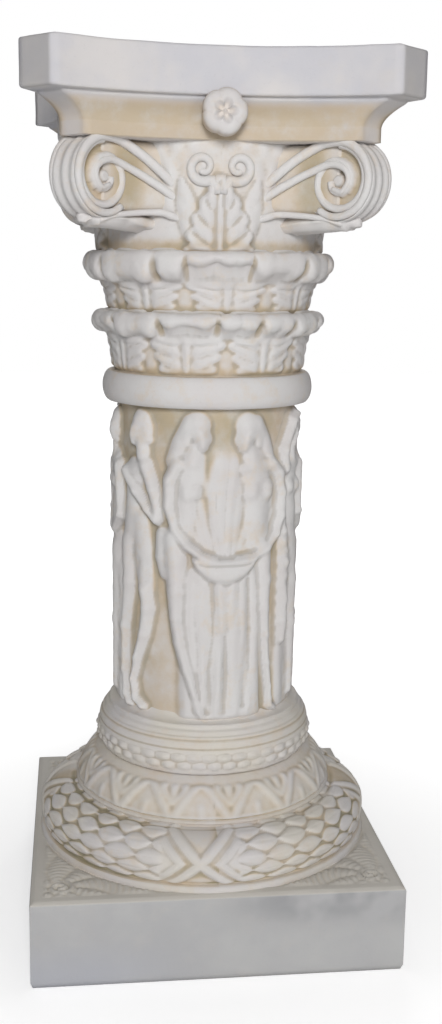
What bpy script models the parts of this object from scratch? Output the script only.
"""Column pedestal, cast in one piece: a plain plinth, a base with a laurel wreath, a shaft with maidens in
relief, a capital with two rows of leaves and corner scrolls, and an abacus with a rosette on each side.

Metres, +Z up, the front faces -Y, the origin is the middle of the underside. Azimuths run from the front
towards +X.
"""

import math

import bmesh
import bpy
import numpy as np
from mathutils import Matrix

# Driving dimensions: the heights, from the floor up
PLINTH_HEIGHT = 0.078
FOOT_BAND_HEIGHT = 0.006
WREATH_HEIGHT = 0.038
RING_HEIGHT = 0.006
TONGUE_HEIGHT = 0.032
COLLAR_HEIGHT = 0.036
STEP_HEIGHT = 0.009
SHAFT_HEIGHT = 0.282
ASTRAGAL_HEIGHT = 0.027
LOW_LEAF_HEIGHT = 0.053
HIGH_LEAF_HEIGHT = 0.051
BELL_HEIGHT = 0.088
BEAD_HEIGHT = 0.010
COVE_HEIGHT = 0.0215
SLAB_HEIGHT = 0.0375

# Driving dimensions: widths and radii
PLINTH_WIDTH = 0.325
PLINTH_ROUNDING = 0.003
SHAFT_RADIUS = 0.079
SLAB_WIDTH = 0.317
SLAB_HOLLOW = 0.033
SLAB_CORNER_CUT = 0.026
SLAB_ROUNDING = 0.002
SCROLL_RADIUS = 0.033
SCROLL_THICKNESS = 0.030
ROSETTE_RADIUS = 0.0185

# Radii that follow from those
WREATH_RADIUS = 0.471 * PLINTH_WIDTH
FOOT_BAND_RADIUS = 0.483 * PLINTH_WIDTH
RING_RADIUS = 1.53 * SHAFT_RADIUS
NECK_RADIUS = 1.21 * SHAFT_RADIUS
COLLAR_RADIUS = 1.272 * SHAFT_RADIUS
STEP_RADIUS = 1.18 * SHAFT_RADIUS
ASTRAGAL_RADIUS = 1.209 * SHAFT_RADIUS
BELL_FOOT_RADIUS = 1.06 * SHAFT_RADIUS
BELL_MIDDLE_RADIUS = 1.11 * SHAFT_RADIUS
BELL_TOP_RADIUS = 1.30 * SHAFT_RADIUS
LOW_LIP_RADIUS = 1.32 * SHAFT_RADIUS
HIGH_LIP_RADIUS = 1.42 * SHAFT_RADIUS

# The carving
FIGURE_PITCH = math.radians(36)
FRONT_AZIMUTH = math.radians(4)
CAPITAL_TWIST = math.radians(-1.0)
FIGURE_RISE = 0.0115
FIGURE_SOFTNESS = 6
WREATH_WAIST = 0.42
WREATH_START = math.radians(-60)
LAUREL_ROWS = 4
LAUREL_LEAVES = 28
LAUREL_RISE = 0.0042
BINDINGS = 4
BINDING_REACH = math.radians(13)
RIBBON_SLANT = math.radians(12)
TONGUES = 14
TONGUE_RISE = 0.0034
BUDS = 28
BUD_RISE = 0.0018
LIP_LOBES = 16
LIP_NOTCH = 0.005
ROW_LEAVES = 8
LOW_LIP_SHARE = 0.36
HIGH_LIP_SHARE = 0.48
LEAF_RISE = 0.0030
SPANDREL_RISE = 0.0035
SPANDREL_BORDER = 0.013
SPANDREL_SLOPE = 0.003
SPANDREL_LOBES = 8
SCROLL_TURNS = 1.5
SCROLL_GROOVE = 0.0045
CURL_RADIUS = 0.0115
CURL_START = math.radians(-60)
CURL_TURN = math.radians(330)
PETALS = 5

# Facets. The base and the bell have a whole number of columns to each leaf, tongue or lobe.
BASE_STEPS = 4 * TONGUES
BELL_STEPS = 3 * LIP_LOBES
BINDING_AZIMUTH = -2 * math.pi / BASE_STEPS
SHAFT_STEPS = 240
SHAFT_GRAIN = 0.0022
SHAFT_FACES = 1550
SCROLL_STEPS = 10
SCROLL_RINGS = 4
CURL_POINTS = 5
SPANDREL_GRID = 120
SPANDREL_FACES = 104
SINK = 0.004
SPANDREL_SINK = 0.0008
LEAST_STEP = 0.001
SHARP_EDGE = math.radians(20)

FULL_TURN = 2 * math.pi


def heights():
    """Each level of the column, from the floor up."""
    rises = [
        ("plinth", PLINTH_HEIGHT),
        ("foot band", FOOT_BAND_HEIGHT),
        ("wreath", WREATH_HEIGHT),
        ("ring", RING_HEIGHT),
        ("tongues", TONGUE_HEIGHT),
        ("collar", COLLAR_HEIGHT),
        ("steps", STEP_HEIGHT),
        ("shaft", SHAFT_HEIGHT),
        ("astragal", ASTRAGAL_HEIGHT),
        ("low leaves", LOW_LEAF_HEIGHT),
        ("high leaves", HIGH_LEAF_HEIGHT),
        ("bell", BELL_HEIGHT),
        ("bead", BEAD_HEIGHT),
        ("cove", COVE_HEIGHT),
        ("slab", SLAB_HEIGHT),
    ]
    tops, z = {}, 0.0
    for name, rise in rises:
        z += rise
        tops[name] = z
    return tops


TOP = heights()
SHAFT_FOOT = TOP["steps"]
SHAFT_TOP = SHAFT_FOOT + SHAFT_HEIGHT
SCROLL_Z = TOP["bell"] - 0.93 * SCROLL_RADIUS
SCROLL_REACH = 0.565 * SLAB_WIDTH - SCROLL_RADIUS


# Shapes of outlines and fields

def smooth(x, low, high):
    """0 below low, 1 above high, and a soft step between."""
    t = np.clip((x - low) / (high - low), 0.0, 1.0)
    return t * t * (3 - 2 * t)


def wrapped(angle, period):
    """The angle from the nearest multiple of the period, from -period/2 to period/2."""
    return (angle + period / 2) % period - period / 2


def quarter(start, end, upright_first, power=1.0, count=3):
    """A quarter of an oval between two profile points. It leaves the start upright or level."""
    points = []
    for i in range(count + 1):
        a = math.pi / 2 * i / count
        across, along = 1 - math.cos(a) ** power, math.sin(a) ** power
        if not upright_first:
            across, along = along, across
        points.append((start[0] + (end[0] - start[0]) * across, start[1] + (end[1] - start[1]) * along))
    return points


def wreath_profile():
    """The big round moulding, with a ring on the edge and on the middle of each row of leaves."""
    band, waist = TOP["foot band"], WREATH_WAIST * WREATH_HEIGHT
    foot, crown = 0.965 * WREATH_RADIUS, 1.03 * RING_RADIUS
    points = []
    for i in range(2 * LAUREL_ROWS + 1):
        a = WREATH_START + (math.pi / 2 - WREATH_START) * i / (2 * LAUREL_ROWS)
        inner = foot if a < 0 else crown
        reach = inner + (WREATH_RADIUS - inner) * math.cos(a)
        if a < 0:
            rise = waist * (1 - math.sin(a) / math.sin(WREATH_START))
        else:
            rise = waist + (WREATH_HEIGHT - waist) * math.sin(a)
        points.append((reach, band + rise))
    return points


def wreath_across(z):
    """Where a height lies in the rows of leaves, from 0 at the wreath's foot to 1 at its crown."""
    waist = WREATH_WAIST * WREATH_HEIGHT
    rise = z - TOP["foot band"]
    below = np.arcsin(np.clip((1 - rise / waist) * math.sin(WREATH_START), -1, 1))
    above = np.arcsin(np.clip((rise - waist) / (WREATH_HEIGHT - waist), -1, 1))
    return (np.where(rise < waist, below, above) - WREATH_START) / (math.pi / 2 - WREATH_START)


def base_profile():
    """(radius, height) of the base, from the axis inside the plinth up to the axis over the steps."""
    wreath, ring, neck, collar = TOP["wreath"], TOP["ring"], TOP["tongues"], TOP["collar"]
    collar_middle = neck + 0.5 * COLLAR_HEIGHT
    step = collar + 0.5 * STEP_HEIGHT
    points = [(0.0, TOP["plinth"] - SINK), (FOOT_BAND_RADIUS, TOP["plinth"] - SINK)]
    points += [(FOOT_BAND_RADIUS, TOP["foot band"])] + wreath_profile()
    points += [(0.98 * RING_RADIUS, wreath), (RING_RADIUS, wreath + RING_HEIGHT / 2)]
    points += quarter((0.98 * RING_RADIUS, ring), (NECK_RADIUS, neck), True, 1.35, 5)
    points += quarter((0.955 * COLLAR_RADIUS, neck), (COLLAR_RADIUS, collar_middle), False, 1.0, 2)
    points += quarter((COLLAR_RADIUS, collar_middle), (0.945 * COLLAR_RADIUS, collar), True, 1.0, 2)[1:]
    points += [(STEP_RADIUS, step), (0.96 * STEP_RADIUS, SHAFT_FOOT), (0.0, SHAFT_FOOT)]
    return points


def shaft_profile():
    """(radius, height) of the shaft, which starts inside the base and ends inside the capital."""
    points = [(0.0, SHAFT_FOOT - SINK), (0.90 * STEP_RADIUS, SHAFT_FOOT - SINK)]
    points += quarter((0.90 * STEP_RADIUS, SHAFT_FOOT), (SHAFT_RADIUS, SHAFT_FOOT + STEP_HEIGHT), False)
    points += [(SHAFT_RADIUS, SHAFT_TOP + SINK), (0.0, SHAFT_TOP + SINK)]
    return points


def bell_profile():
    """(radius, height) of the capital's turned body, from the axis under the astragal up into the abacus."""
    bead, low, high, roof = TOP["astragal"], TOP["low leaves"], TOP["high leaves"], TOP["bell"]
    bead_middle = SHAFT_TOP + 0.5 * ASTRAGAL_HEIGHT
    points = [(0.0, SHAFT_TOP)]
    points += quarter((0.94 * ASTRAGAL_RADIUS, SHAFT_TOP), (ASTRAGAL_RADIUS, bead_middle), False, 1.0, 2)
    points += quarter((ASTRAGAL_RADIUS, bead_middle), (0.93 * ASTRAGAL_RADIUS, bead), True, 1.0, 2)[1:]
    points += [(BELL_FOOT_RADIUS, bead)]
    points += lip(BELL_FOOT_RADIUS, LOW_LIP_RADIUS, BELL_MIDDLE_RADIUS, bead, low, LOW_LIP_SHARE)
    points += lip(BELL_MIDDLE_RADIUS, HIGH_LIP_RADIUS, 0.92 * BELL_TOP_RADIUS, low, high, HIGH_LIP_SHARE)
    points += [(BELL_TOP_RADIUS, roof), (BELL_TOP_RADIUS, roof + SINK), (0.0, roof + SINK)]
    return points


def lip(foot, edge, back, low, high, share):
    """A row of leaves on the bell: the wall from foot up, the tips that turn out to edge, and back in."""
    tip_low = high - share * (high - low)
    tip_middle = (tip_low + high) / 2
    points = [(foot + 0.10 * (edge - foot), low + 0.55 * (tip_low - low))]
    points += [(foot + 0.35 * (edge - foot), tip_low), (foot + 0.88 * (edge - foot), tip_low)]
    points += [(edge, tip_middle), (back + 0.70 * (edge - back), high), (back, high)]
    return points


def evenly(points, step):
    """The same line with no span longer than the step."""
    finer = [points[0]]
    for (r0, z0), (r1, z1) in zip(points, points[1:]):
        pieces = max(1, math.ceil(math.hypot(r1 - r0, z1 - z0) / step))
        finer += [(r0 + (r1 - r0) * i / pieces, z0 + (z1 - z0) * i / pieces) for i in range(1, pieces + 1)]
    return finer


# The maidens. A limb is a line of points (place, height, half-width) that stand out alike. A place is in
# shares of the pitch between figures, from the bowl's middle, a height in shares of the shaft's height, a
# half-width in shares of the pitch, and a rise in shares of the figures' rise.

def limb(rise, *points):
    """Strokes from point to point, each (place 0, height 0, place 1, height 1, width 0, width 1, rise)."""
    pairs = zip(points, points[1:])
    return [(p0, h0, p1, h1, w0, w1, rise) for (p0, h0, w0), (p1, h1, w1) in pairs]


def head(x, y, tilt):
    """A bowed head with its hair swept back, seen from the side it is tilted to."""
    hair = limb(0.86, (x - 0.03 * tilt, y + 0.020, 0.23), (x - 0.10 * tilt, y, 0.20))
    return hair + limb(0.92, (x + 0.03 * tilt, y, 0.18), (x + 0.09 * tilt, y - 0.046, 0.10))


def left_bearer():
    """The woman on the bowl's left, with one long bare leg in front of the cloth."""
    parts = head(-0.42, 0.930, 1)
    parts += limb(0.66, (-0.44, 0.875, 0.11), (-0.62, 0.815, 0.14))
    parts += limb(0.60, (-0.60, 0.800, 0.24), (-0.62, 0.720, 0.22), (-0.72, 0.580, 0.22))
    parts += limb(0.86, (-0.60, 0.748, 0.14), (-0.48, 0.740, 0.13))
    parts += limb(1.00, (-0.76, 0.825, 0.13), (-0.89, 0.775, 0.14), (-0.90, 0.695, 0.12), (-0.79, 0.628, 0.10))
    parts += limb(1.04, (-0.79, 0.628, 0.10), (-0.34, 0.543, 0.09), (-0.12, 0.530, 0.08))
    parts += limb(0.74, (-1.08, 0.585, 0.14), (-1.04, 0.490, 0.12))
    parts += limb(0.94, (-0.84, 0.598, 0.17), (-0.78, 0.426, 0.17), (-0.70, 0.262, 0.13), (-0.42, 0.090, 0.09))
    parts += limb(0.86, (-0.42, 0.090, 0.09), (-0.28, 0.020, 0.10))
    return parts


def right_bearer():
    """The woman on the bowl's right, who bows over it, with one bare leg beside the cloth."""
    parts = head(0.44, 0.925, -1)
    parts += limb(0.70, (0.42, 0.865, 0.11), (0.60, 0.815, 0.15))
    parts += limb(0.62, (0.60, 0.795, 0.30), (0.66, 0.720, 0.27), (0.64, 0.640, 0.24), (0.70, 0.580, 0.26))
    parts += limb(0.90, (0.52, 0.745, 0.15), (0.82, 0.742, 0.14))
    parts += limb(0.98, (0.94, 0.818, 0.14), (1.12, 0.750, 0.13), (1.17, 0.665, 0.11), (1.02, 0.600, 0.10))
    parts += limb(1.04, (1.02, 0.600, 0.10), (0.54, 0.535, 0.09), (0.26, 0.528, 0.08))
    parts += limb(0.94, (0.76, 0.560, 0.18), (0.80, 0.457, 0.17), (0.82, 0.276, 0.12), (0.93, 0.100, 0.08))
    parts += limb(0.86, (0.93, 0.100, 0.08), (1.06, 0.020, 0.09))
    return parts


def long_cloth():
    """The folds that fall from the bowl between the bearers' legs, and those that hang over it."""
    parts = limb(0.66, (-0.42, 0.480, 0.17), (-0.41, 0.305, 0.17), (-0.20, 0.020, 0.13))
    parts += limb(0.74, (-0.04, 0.450, 0.12), (-0.02, 0.305, 0.13), (-0.04, 0.020, 0.14))
    parts += limb(0.66, (0.25, 0.470, 0.14), (0.25, 0.305, 0.14), (0.22, 0.020, 0.13))
    parts += limb(0.56, (0.48, 0.500, 0.10), (0.46, 0.305, 0.09), (0.54, 0.020, 0.15))
    parts += limb(0.48, (-0.06, 0.740, 0.09), (0.04, 0.540, 0.06))
    parts += limb(0.52, (0.10, 0.840, 0.09), (0.10, 0.740, 0.12), (0.08, 0.540, 0.06))
    parts += limb(0.48, (0.26, 0.740, 0.09), (0.12, 0.540, 0.06))
    return parts


def bowl():
    """The bowl between the pair."""
    rim = limb(1.10, (-0.40, 0.520, 0.06), (0.50, 0.520, 0.06))
    return rim + limb(1.04, (-0.16, 0.500, 0.14), (0.26, 0.500, 0.14))


def left_woman():
    """The woman on the left of the pair, with both arms before her chest and one knee forward."""
    parts = head(-1.54, 0.930, -1)
    parts += limb(0.80, (-1.46, 0.900, 0.13), (-1.44, 0.830, 0.12))
    parts += limb(0.66, (-1.66, 0.790, 0.26), (-1.72, 0.680, 0.21), (-1.80, 0.580, 0.24))
    parts += limb(0.92, (-1.38, 0.818, 0.13), (-1.21, 0.745, 0.13), (-1.10, 0.655, 0.10))
    parts += limb(1.00, (-1.86, 0.790, 0.12), (-1.56, 0.732, 0.12), (-1.13, 0.645, 0.09))
    parts += limb(0.86, (-1.84, 0.560, 0.20), (-1.82, 0.430, 0.16), (-1.93, 0.280, 0.12), (-1.90, 0.030, 0.09))
    parts += limb(0.46, (-1.50, 0.560, 0.16), (-1.40, 0.440, 0.16))
    parts += limb(0.86, (-1.40, 0.420, 0.15), (-1.34, 0.360, 0.15), (-1.68, 0.110, 0.09), (-1.48, 0.030, 0.10))
    return parts


def right_woman():
    """The woman on the right of the pair, with an arm raised to her hair and gathered cloth at her side."""
    parts = head(1.62, 0.925, -1)
    parts += limb(0.74, (1.36, 0.810, 0.14), (1.80, 0.810, 0.14))
    parts += limb(0.66, (1.58, 0.790, 0.30), (1.60, 0.660, 0.25), (1.60, 0.580, 0.28))
    parts += limb(0.88, (1.43, 0.742, 0.14), (1.72, 0.742, 0.14))
    parts += limb(0.96, (1.28, 0.800, 0.12), (1.24, 0.862, 0.11), (1.52, 0.950, 0.09), (1.72, 0.970, 0.09))
    parts += limb(0.84, (1.58, 0.560, 0.30), (1.66, 0.430, 0.19), (1.62, 0.050, 0.09))
    parts += limb(0.66, (1.84, 0.520, 0.16), (1.88, 0.050, 0.09))
    parts += limb(0.80, (1.20, 0.700, 0.09), (1.34, 0.500, 0.15), (1.33, 0.380, 0.15), (1.28, 0.240, 0.11))
    return parts


def gowned_woman():
    """The woman between the groups, with both hands at her waist."""
    parts = head(2.5, 0.925, 1)
    parts += limb(0.70, (2.30, 0.810, 0.14), (2.70, 0.810, 0.14))
    parts += limb(0.66, (2.50, 0.800, 0.31), (2.50, 0.660, 0.25), (2.52, 0.530, 0.34))
    parts += limb(0.88, (2.35, 0.745, 0.14), (2.65, 0.745, 0.14))
    parts += limb(0.84, (2.62, 0.520, 0.20), (2.64, 0.280, 0.14), (2.62, 0.050, 0.10))
    parts += limb(0.72, (2.38, 0.520, 0.19), (2.36, 0.050, 0.10))
    for side in (-1, 1):
        elbow = (2.5 + side * 0.44, 0.640, 0.10)
        parts += limb(0.94, (2.5 + side * 0.33, 0.800, 0.12), elbow, (2.5 + side * 0.10, 0.580, 0.08))
    return parts


def moved(limbs, place):
    return [(p0 + place, h0, p1 + place, h1, w0, w1, rise) for p0, h0, p1, h1, w0, w1, rise in limbs]


def half_round():
    """The five figures on one half of the shaft, with the bowl and its cloth."""
    pair = left_bearer() + right_bearer() + bowl() + long_cloth()
    return pair + left_woman() + right_woman() + gowned_woman()


def limb_field(place, height, limbs):
    """How far the limbs stand out, in shares of the figures' rise, where they meet softly."""
    pitch_length = FIGURE_PITCH * SHAFT_RADIUS
    across, up = place * pitch_length, height * SHAFT_HEIGHT
    total = np.zeros_like(place)
    for p0, h0, p1, h1, w0, w1, rise in limbs:
        x0, x1, y0, y1 = p0 * pitch_length, p1 * pitch_length, h0 * SHAFT_HEIGHT, h1 * SHAFT_HEIGHT
        length_squared = (x1 - x0) ** 2 + (y1 - y0) ** 2
        along = np.clip(((across - x0) * (x1 - x0) + (up - y0) * (y1 - y0)) / length_squared, 0, 1)
        width = (w0 + (w1 - w0) * along) * pitch_length
        away = np.hypot(across - x0 - along * (x1 - x0), up - y0 - along * (y1 - y0)) / width
        total += (rise * np.sqrt(np.clip(1 - away**2, 0, 1))) ** FIGURE_SOFTNESS
    return total ** (1 / FIGURE_SOFTNESS)


def figure_relief(azimuth, z):
    """The figures on the shaft. The half round repeats on the far side."""
    height = (z - SHAFT_FOOT) / SHAFT_HEIGHT
    place = wrapped(azimuth - FRONT_AZIMUTH, math.pi) / FIGURE_PITCH
    limbs = half_round()
    around = math.pi / FIGURE_PITCH
    limbs = limbs + moved(limbs, -around) + moved(limbs, around)
    inside = smooth(height, -0.01, 0.02) * (1 - smooth(height, 0.985, 1.0))
    return FIGURE_RISE * limb_field(place, height, limbs) * inside


# The carving on the mouldings. Each function gives how far the surface stands out.

def laurel_relief(azimuth, across):
    """Leaves in rows that run from the middle between two bindings to each binding. across is 0 to 1."""
    from_binding = wrapped(azimuth - BINDING_AZIMUTH, FULL_TURN / BINDINGS)
    run = np.abs(from_binding) / (FULL_TURN / LAUREL_LEAVES)
    row = across * LAUREL_ROWS
    number = np.minimum(np.floor(row + 0.001), LAUREL_ROWS - 1)
    along = (run + 0.5 * (number % 2)) % 1.0
    width = np.sin(math.pi * along)
    leaf = width * np.clip(1 - np.abs(row - number - 0.5) * 2, 0, 1)
    ribbon = np.abs(from_binding) / RIBBON_SLANT - np.abs(across - 0.5) * 2
    crossed = np.clip(1 - (ribbon / 0.4) ** 2, 0, 1)
    near = np.abs(from_binding) < BINDING_REACH
    return LAUREL_RISE * np.where(near, 0.2 + 0.8 * crossed, leaf)


def tongue_relief(azimuth, up):
    """Upright pointed arches with a dart in each and a bud between. up is 0 at the foot and 1 at the neck."""
    period = FULL_TURN / TONGUES
    x = np.abs(wrapped(azimuth - BINDING_AZIMUTH, period)) / (period / 2)
    arch = np.clip((0.94 - up) / 0.74, 0, 1)
    band = np.clip(1 - ((x - arch) / 0.45) ** 2, 0, 1)
    dart = np.clip(1 - x / 0.4, 0, 1) * (up < 0.55)
    bud = 0.8 * np.clip(1 - (1 - x) / 0.45, 0, 1) * (up > 0.7)
    return TONGUE_RISE * np.maximum(np.maximum(band, 0.7 * dart), bud) * (up > 0.02) * (up < 0.98)


def bud_relief(azimuth, up):
    """A running band of buds low on the collar."""
    period = FULL_TURN / BUDS
    x = np.abs(wrapped(azimuth, period)) / (period / 2)
    return BUD_RISE * (1 - x) * (up > 0.2) * (up < 0.6)


def leaf_relief(azimuth, up, shift):
    """Broad leaves side by side on the wall of the bell, each with a midrib. up is 0 to 1."""
    period = FULL_TURN / ROW_LEAVES
    x = np.abs(wrapped(azimuth - shift, period)) / (period / 2)
    return LEAF_RISE * np.clip(1 - x, 0, 1) * np.clip(up / 0.5, 0, 1)


def lip_scallop(azimuth):
    """0 between two lobes of a lip and 1 over the rest of a lobe."""
    x = np.abs(wrapped(azimuth, FULL_TURN / LIP_LOBES)) / (FULL_TURN / LIP_LOBES / 2)
    return np.clip(x / 0.5, 0, 1)


def spiral(away, angle):
    """A raised spiral fillet, 0 to 1. away is 0 at the middle and 1 at the rim."""
    return 0.5 + 0.5 * np.cos(FULL_TURN * (away * SCROLL_TURNS - angle / FULL_TURN))


def share(z, low, high):
    return (z - low) / (high - low)


def carve_base(azimuth, radius, z):
    """The new radius and height of points of the turned base."""
    rise = np.zeros_like(z)
    wreath = (z > TOP["foot band"] + LEAST_STEP) & (z < TOP["wreath"] - LEAST_STEP / 2)
    rise += wreath * laurel_relief(azimuth, wreath_across(z))
    tongues = (z > TOP["ring"]) & (z < TOP["tongues"])
    rise += tongues * tongue_relief(azimuth, share(z, TOP["ring"], TOP["tongues"]))
    collar = (z > TOP["tongues"]) & (z < TOP["collar"])
    rise += collar * bud_relief(azimuth, share(z, TOP["tongues"], TOP["collar"]))
    return radius + rise, z


def carve_shaft(azimuth, radius, z):
    """The new radius and height of points of the shaft."""
    return radius + (radius > 0) * figure_relief(azimuth, z), z


def carve_bell(azimuth, radius, z):
    """The new radius and height of points of the capital's turned body."""
    rise, drop = np.zeros_like(z), np.zeros_like(z)
    half_leaf = math.pi / ROW_LEAVES
    rows = (("astragal", "low leaves", BELL_FOOT_RADIUS, LOW_LIP_RADIUS, LOW_LIP_SHARE, 0.0),
            ("low leaves", "high leaves", BELL_MIDDLE_RADIUS, HIGH_LIP_RADIUS, HIGH_LIP_SHARE, half_leaf))
    for low, high, foot, edge, lip_share, shift in rows:
        up = share(z, TOP[low], TOP[high])
        inside = (up > 0.02) & (up < 0.98)
        on_lip = inside * (radius > foot + 0.6 * (edge - foot))
        on_wall = inside * (radius < foot + 0.6 * (edge - foot))
        rise += on_wall * leaf_relief(azimuth, up / (1 - lip_share), shift)
        scallop = lip_scallop(azimuth)
        rise -= on_lip * LIP_NOTCH * (1 - scallop)
        drop += on_lip * LIP_NOTCH * (scallop - 0.6) * (up < 0.7)
    return radius + rise, z - drop


# Blender objects

def clear_scene():
    for ob in list(bpy.data.objects):
        bpy.data.objects.remove(ob, do_unlink=True)


def collection(name):
    made = bpy.data.collections.new(name)
    bpy.context.scene.collection.children.link(made)
    return made


def cast_stone():
    """Off-white cast stone with a warm cast."""
    material = bpy.data.materials.new("cast stone")
    material.use_nodes = True
    shader = material.node_tree.nodes["Principled BSDF"]
    shader.inputs["Base Color"].default_value = (0.62, 0.58, 0.51, 1.0)
    shader.inputs["Roughness"].default_value = 0.75
    shader.inputs["Metallic"].default_value = 0.0
    return material


def place_mesh(name, mesh, group):
    ob = bpy.data.objects.new(name, mesh)
    group.objects.link(ob)
    return ob


def turned_mesh(name, points, steps):
    """A turned solid's mesh. The profile runs up from the axis, so it is turned over for the Screw."""
    line = bpy.data.meshes.new(name + " line")
    vertices = [(r, 0.0, z) for r, z in reversed(points)]
    line.from_pydata(vertices, [(i, i + 1) for i in range(len(vertices) - 1)], [])
    ob = bpy.data.objects.new(name + " line", line)
    bpy.context.scene.collection.objects.link(ob)
    screw = ob.modifiers.new("Screw", "SCREW")
    screw.steps = screw.render_steps = steps
    screw.use_merge_vertices = True
    screw.merge_threshold = 0.00001
    mesh = evaluated_mesh(ob)
    bpy.data.objects.remove(ob, do_unlink=True)
    return mesh


def evaluated_mesh(ob):
    bpy.context.view_layer.update()
    depsgraph = bpy.context.evaluated_depsgraph_get()
    return bpy.data.meshes.new_from_object(ob.evaluated_get(depsgraph))


def points_of(mesh):
    co = np.empty(len(mesh.vertices) * 3, np.float32)
    mesh.vertices.foreach_get("co", co)
    return co.reshape(-1, 3).astype(float)


def set_points(mesh, co):
    mesh.vertices.foreach_set("co", np.asarray(co, np.float32).ravel())
    mesh.update()


def carved(name, points, steps, carve, group):
    """A turned body of the profile, with its carving."""
    mesh = turned_mesh(name, points, steps)
    co = points_of(mesh)
    azimuth = np.arctan2(co[:, 0], -co[:, 1])
    radius, z = carve(azimuth, np.hypot(co[:, 0], co[:, 1]), co[:, 2])
    set_points(mesh, np.stack([radius * np.sin(azimuth), -radius * np.cos(azimuth), z], 1))
    return place_mesh(name, mesh, group)


def abacus_outline(half, hollow, cut, count=7):
    """A square with hollow sides and cut corners, anticlockwise from above."""
    reach = half - cut
    side = []
    for i in range(count + 1):
        x = -reach + 2 * reach * i / count
        side.append((x, -half + hollow * (1 - (x / reach) ** 2)))
    points = []
    for turn in range(4):
        cos, sin = math.cos(turn * math.pi / 2), math.sin(turn * math.pi / 2)
        points += [(x * cos - y * sin, x * sin + y * cos) for x, y in side]
    return points


def lofted(name, levels, group):
    """A solid through outlines of equal count at rising heights."""
    bm = bmesh.new()
    rings = [[bm.verts.new((x, y, z)) for x, y in outline] for z, outline in levels]
    for low, high in zip(rings, rings[1:]):
        for i in range(len(low)):
            j = (i + 1) % len(low)
            bm.faces.new((low[i], low[j], high[j], high[i]))
    bm.faces.new(tuple(reversed(rings[0])))
    bm.faces.new(rings[-1])
    mesh = bpy.data.meshes.new(name)
    bm.to_mesh(mesh)
    bm.free()
    return place_mesh(name, mesh, group)


def abacus(group):
    """The plain slab, the cove under it and the bead over the scrolls."""
    low, bead, cove, high = TOP["bell"], TOP["bead"], TOP["cove"], TOP["slab"]
    half = SLAB_WIDTH / 2
    wide, narrow, cut = 0.91 * half, 0.77 * half, 0.8 * SLAB_CORNER_CUT
    levels = [(low, narrow + 2 * LEAST_STEP, 0.45)]
    levels.append((low + 0.75 * BEAD_HEIGHT, narrow + 3 * LEAST_STEP, 0.45))
    for t in (0.0, 0.5, 1.0):
        levels.append((bead + 0.88 * (cove - bead) * t, narrow + (wide - narrow) * t**2, 0.45 + 0.35 * t))
    levels.append((cove, wide + LEAST_STEP, 0.80))
    outlines = [(z, abacus_outline(width, hollow * SLAB_HOLLOW, cut)) for z, width, hollow in levels]
    full = abacus_outline(half, SLAB_HOLLOW, SLAB_CORNER_CUT)
    inner = abacus_outline(half - SLAB_ROUNDING, SLAB_HOLLOW, SLAB_CORNER_CUT)
    outlines += [(cove, inner), (cove + SLAB_ROUNDING, full), (high - SLAB_ROUNDING, full), (high, inner)]
    ob = lofted("abacus", outlines, group)
    ob.matrix_world = Matrix.Rotation(CAPITAL_TWIST, 4, "Z")
    return ob


def corner_frame(quarter_turn):
    """Axes at a corner: X across the diagonal, Y out along it and Z up."""
    return Matrix.Rotation(math.pi / 4 + quarter_turn * math.pi / 2 + CAPITAL_TWIST, 4, "Z")


def scroll_half_width(out):
    """Half the width of a corner scroll at a distance out along the diagonal. It narrows to the corner."""
    return SCROLL_THICKNESS / 2 + 0.04 * np.clip(SCROLL_REACH + SCROLL_RADIUS - out, 0, None)


def scroll(quarter_turn, group):
    """A corner scroll: a thick disc on edge, with a spiral on both faces and fillets round its rim."""
    half = SCROLL_THICKNESS / 2
    face = [(SCROLL_RADIUS * i / SCROLL_RINGS, -half) for i in range(SCROLL_RINGS + 1)]
    rim = [(0.91 * SCROLL_RADIUS, -0.45 * half), (SCROLL_RADIUS, 0.0), (0.91 * SCROLL_RADIUS, 0.45 * half)]
    back = [(r, half) for r, _ in reversed(face)]
    mesh = turned_mesh("scroll", face + rim + back, SCROLL_STEPS)
    co = points_of(mesh)
    out, up, side = co[:, 0], co[:, 1], co[:, 2] / half
    away = np.hypot(out, up) / SCROLL_RADIUS
    raised = np.where((away < 0.1) | (away > 0.98), 1.0, spiral(away, np.arctan2(up, out)))
    width = scroll_half_width(out + SCROLL_REACH) - SCROLL_GROOVE * (1 - raised) * (np.abs(side) > 0.99)
    set_points(mesh, np.stack([side * width, out + SCROLL_REACH, up + SCROLL_Z], 1))
    ob = place_mesh("scroll", mesh, group)
    ob.matrix_world = corner_frame(quarter_turn)
    return ob


def prism(name, outline, half_width, group, matrix):
    """A solid of an outline in (out, up), as wide as half_width(out) each way."""
    bm = bmesh.new()
    sides = [[bm.verts.new((s * float(half_width(out)), out, up)) for out, up in outline] for s in (-1, 1)]
    bm.faces.new(sides[0])
    bm.faces.new(tuple(reversed(sides[1])))
    for i in range(len(outline)):
        j = (i + 1) % len(outline)
        bm.faces.new((sides[0][j], sides[0][i], sides[1][i], sides[1][j]))
    bmesh.ops.recalc_face_normals(bm, faces=bm.faces)
    mesh = bpy.data.meshes.new(name)
    bm.to_mesh(mesh)
    bm.free()
    ob = place_mesh(name, mesh, group)
    ob.matrix_world = matrix
    return ob


def stem_half_width(out):
    """Half the width of a stem. It is widest where it leaves the bell."""
    return 0.30 * SCROLL_THICKNESS + 0.12 * (SCROLL_REACH - out)


def stem(quarter_turn, group):
    """What carries a corner scroll: it swells out of the bell and bends up into the scroll's disc."""
    high, drop = SCROLL_Z + 0.85 * SCROLL_RADIUS, 1.05 * SCROLL_RADIUS
    start = 0.80 * BELL_TOP_RADIUS
    outline = [(SCROLL_REACH, high), (start, high)]
    for i in range(4):
        t = i / 3
        outline.append((start + (SCROLL_REACH - start) * t, SCROLL_Z - drop * (1 - 0.75 * t**2)))
    return prism("stem", outline, stem_half_width, group, corner_frame(quarter_turn))


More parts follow.
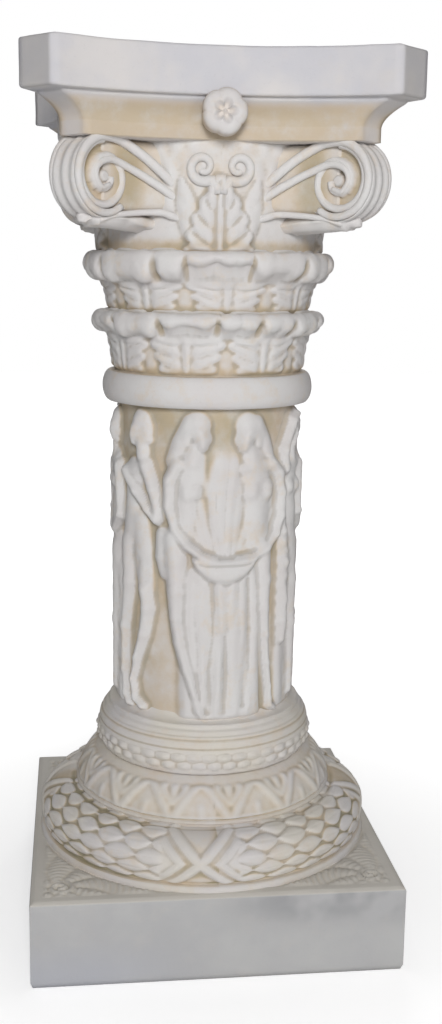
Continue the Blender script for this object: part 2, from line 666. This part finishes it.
def leaf_half_width(out):
    """Half the width of a curled leaf. It narrows from the bell to its tip."""
    return 0.60 * SCROLL_THICKNESS - 0.18 * (out - BELL_TOP_RADIUS)


def curled_leaf(quarter_turn, group):
    """The leaf under a corner scroll: its underside sweeps out from the bell and its thick tip curls over."""
    start, end = 0.92 * BELL_TOP_RADIUS, SCROLL_REACH + 0.10 * SCROLL_RADIUS
    top, thick = SCROLL_Z - 0.64 * SCROLL_RADIUS, 0.60 * SCROLL_RADIUS
    middle = top - thick / 2
    outline = [(start, top), (start, top - 1.3 * thick)]
    outline.append(((start + end) / 2, middle))
    for i in range(5):
        a = math.pi * (i / 4 - 0.5)
        outline.append((end + thick / 2 * math.cos(a), middle + thick / 2 * math.sin(a)))
    return prism("curled leaf", outline, leaf_half_width, group, corner_frame(quarter_turn))


def side_frame(quarter_turn):
    """Axes at the middle of a side of the capital: X along the side, -Y outwards and Z up."""
    return Matrix.Rotation(quarter_turn * math.pi / 2 + CAPITAL_TWIST, 4, "Z")


def rosette(quarter_turn, group):
    """A flower on the middle of a side of the abacus, with a column on each petal and on each gap."""
    deep, size = 0.5 * ROSETTE_RADIUS, ROSETTE_RADIUS
    points = [(0.0, -deep), (size, -deep), (size, 0.2 * deep), (0.70 * size, 0.9 * deep)]
    points += [(0.36 * size, 0.45 * deep), (0.0, -0.2 * deep)]
    mesh = turned_mesh("rosette", points, 2 * PETALS)
    co = points_of(mesh)
    gap = (np.cos(PETALS * np.arctan2(co[:, 1], co[:, 0])) < 0) & (np.hypot(co[:, 0], co[:, 1]) > 0.5 * size)
    shrink = np.where(gap, 0.93, 1.0)
    front = co[:, 2] - 0.4 * deep * (gap & (co[:, 2] > 0))
    middle = SLAB_WIDTH / 2 - SLAB_HOLLOW
    x, z = co[:, 0] * shrink, co[:, 1] * shrink + TOP["cove"] - 0.66 * size
    set_points(mesh, np.stack([x, -front - middle + 0.1 * deep, z], 1))
    ob = place_mesh("rosette", mesh, group)
    ob.matrix_world = side_frame(quarter_turn)
    return ob


def bell_radius(z):
    """The radius of the plain bell over the leaves."""
    return BELL_TOP_RADIUS * (0.92 + 0.08 * share(z, TOP["high leaves"], TOP["bell"]))


def peaked_leaf(quarter_turn, group):
    """The tall leaf under each rosette. It narrows to a point and has a raised midrib."""
    low, high = TOP["high leaves"] - SINK, TOP["high leaves"] + 0.66 * BELL_HEIGHT
    wide, rows, columns = 0.44 * BELL_TOP_RADIUS, 4, 4
    bm = bmesh.new()
    bmesh.ops.create_grid(bm, x_segments=columns, y_segments=rows, size=1.0)
    made = bmesh.ops.extrude_face_region(bm, geom=list(bm.faces))["geom"]
    for vertex in made:
        if isinstance(vertex, bmesh.types.BMVert):
            vertex.co.z = 1.0
    bmesh.ops.recalc_face_normals(bm, faces=bm.faces)
    mesh = bpy.data.meshes.new("peaked leaf")
    bm.to_mesh(mesh)
    bm.free()
    co = points_of(mesh)
    side, up, front = co[:, 0], (co[:, 1] + 1) / 2, co[:, 2]
    x = side * wide * (1 - 0.93 * up**1.7) * (1 - 0.12 * (np.abs(side) > 0.9) * (np.round(up * rows) % 2))
    z = low + (high - low) * up
    rise = LEAF_RISE * (1.0 + 0.9 * (1 - np.abs(side)) + 0.8 * up)
    radius = bell_radius(z) + np.where(front > 0.5, rise, -2 * LEAF_RISE)
    set_points(mesh, np.stack([x, -np.sqrt(radius**2 - x**2), z], 1))
    ob = place_mesh("peaked leaf", mesh, group)
    ob.matrix_world = side_frame(quarter_turn)
    return ob


def curl(quarter_turn, hand, group):
    """One of the two small scrolls between a peaked leaf and its rosette."""
    line = bpy.data.curves.new("curl", "CURVE")
    line.dimensions = "3D"
    line.bevel_depth = 0.27 * CURL_RADIUS
    line.bevel_resolution = 0
    line.use_fill_caps = True
    path = line.splines.new("POLY")
    count = CURL_POINTS
    path.points.add(count - 1)
    middle_x, middle_z = 1.3 * CURL_RADIUS, TOP["high leaves"] + 0.74 * BELL_HEIGHT
    for i in range(count):
        t = i / (count - 1)
        angle = CURL_START + CURL_TURN * t
        reach = CURL_RADIUS * (1.0 - 0.62 * t)
        x, z = middle_x + reach * math.cos(angle), middle_z + reach * math.sin(angle)
        path.points[i].co = (hand * x, -math.sqrt(bell_radius(z) ** 2 - x**2) - 0.1 * CURL_RADIUS, z, 1)
    ob = bpy.data.objects.new("curl", line)
    group.objects.link(ob)
    mesh = evaluated_mesh(ob)
    bpy.data.objects.remove(ob, do_unlink=True)
    welded(mesh)
    ob = place_mesh("curl", mesh, group)
    ob.matrix_world = side_frame(quarter_turn)
    return ob


def welded(mesh):
    """Closes a tube's loose caps."""
    bm = bmesh.new()
    bm.from_mesh(mesh)
    bmesh.ops.remove_doubles(bm, verts=bm.verts, dist=0.00001)
    bmesh.ops.recalc_face_normals(bm, faces=bm.faces)
    bm.to_mesh(mesh)
    bm.free()


def spandrel_relief(x, y):
    """Foliage in the corner of the plinth's top, about the diagonal. x and y run from the corner inwards."""
    out, across = (x + y) / math.sqrt(2), (x - y) / math.sqrt(2)
    angle = np.arctan2(np.abs(across), np.maximum(out, 0.0001))
    lobes = 0.5 + 0.5 * np.cos(SPANDREL_LOBES * angle)
    return smooth(np.minimum(x, y), SPANDREL_BORDER, SPANDREL_BORDER + SPANDREL_SLOPE) * (0.2 + 0.8 * lobes)


def plinth_top(group):
    """The carved corners on top of the plinth, as one plate that is sunk a little into it."""
    half = PLINTH_WIDTH / 2 - 0.8 * SPANDREL_BORDER
    bm = bmesh.new()
    bmesh.ops.create_grid(bm, x_segments=SPANDREL_GRID, y_segments=SPANDREL_GRID, size=half)
    mesh = bpy.data.meshes.new("plinth top")
    bm.to_mesh(mesh)
    bm.free()
    co = points_of(mesh)
    edge = PLINTH_WIDTH / 2
    rise = spandrel_relief(edge - np.abs(co[:, 0]), edge - np.abs(co[:, 1]))
    away = np.hypot(co[:, 0], co[:, 1])
    rise *= smooth(away, FOOT_BAND_RADIUS + LEAST_STEP, FOOT_BAND_RADIUS + LEAST_STEP + SPANDREL_SLOPE)
    co[:, 2] = TOP["plinth"] + SPANDREL_RISE * rise - SPANDREL_SINK
    set_points(mesh, co)
    ob = place_mesh("plinth top", mesh, group)
    thinned(ob, SPANDREL_FACES)
    thick = ob.modifiers.new("Solidify", "SOLIDIFY")
    thick.thickness = 2 * SINK
    thick.offset = -1
    return ob


def plinth(group):
    """The plain square block at the foot."""
    bm = bmesh.new()
    bmesh.ops.create_cube(bm, size=1.0, matrix=Matrix.Translation((0, 0, PLINTH_HEIGHT / 2))
                          @ Matrix.Diagonal((PLINTH_WIDTH, PLINTH_WIDTH, PLINTH_HEIGHT, 1)))
    mesh = bpy.data.meshes.new("plinth")
    bm.to_mesh(mesh)
    bm.free()
    ob = place_mesh("plinth", mesh, group)
    rounding = ob.modifiers.new("Bevel", "BEVEL")
    rounding.width = PLINTH_ROUNDING
    rounding.segments = 1
    return ob


def thinned(ob, faces):
    """The object's mesh, thinned to flat facets that keep the carving."""
    count = sum(len(face.vertices) - 2 for face in ob.data.polygons)
    thin = ob.modifiers.new("Decimate", "DECIMATE")
    thin.ratio = faces / count
    return ob


def capital(group):
    """The bell with its leaves, the corner scrolls with the leaves under them, and the flowers and curls."""
    carved("bell", bell_profile(), BELL_STEPS, carve_bell, group).matrix_world = side_frame(0)
    abacus(group)
    for quarter_turn in range(4):
        stem(quarter_turn, group)
        scroll(quarter_turn, group)
        curled_leaf(quarter_turn, group)
        rosette(quarter_turn, group)
        peaked_leaf(quarter_turn, group)
        for hand in (-1, 1):
            curl(quarter_turn, hand, group)


def pedestal(parts, tools):
    """The whole casting: the plinth takes on its carved top, the base, the shaft and the capital."""
    plinth_top(tools)
    carved("base", base_profile(), BASE_STEPS, carve_base, tools)
    shaft = carved("shaft", evenly(shaft_profile(), SHAFT_GRAIN), SHAFT_STEPS, carve_shaft, tools)
    thinned(shaft, SHAFT_FACES)
    capital(tools)
    ob = plinth(parts)
    ob.name = "pedestal"
    for block in list(tools.objects):
        block.hide_render = True
        block.display_type = "WIRE"
        union = ob.modifiers.new(block.name, "BOOLEAN")
        union.operation = "UNION"
        union.solver = "EXACT"
        union.object = block
    return ob


def main():
    clear_scene()
    parts, tools = collection("column pedestal"), collection("blocks")
    ob = pedestal(parts, tools)
    ob.data.materials.append(cast_stone())
    ob.data.shade_smooth()
    ob.data.set_sharp_from_angle(angle=SHARP_EDGE)


main()
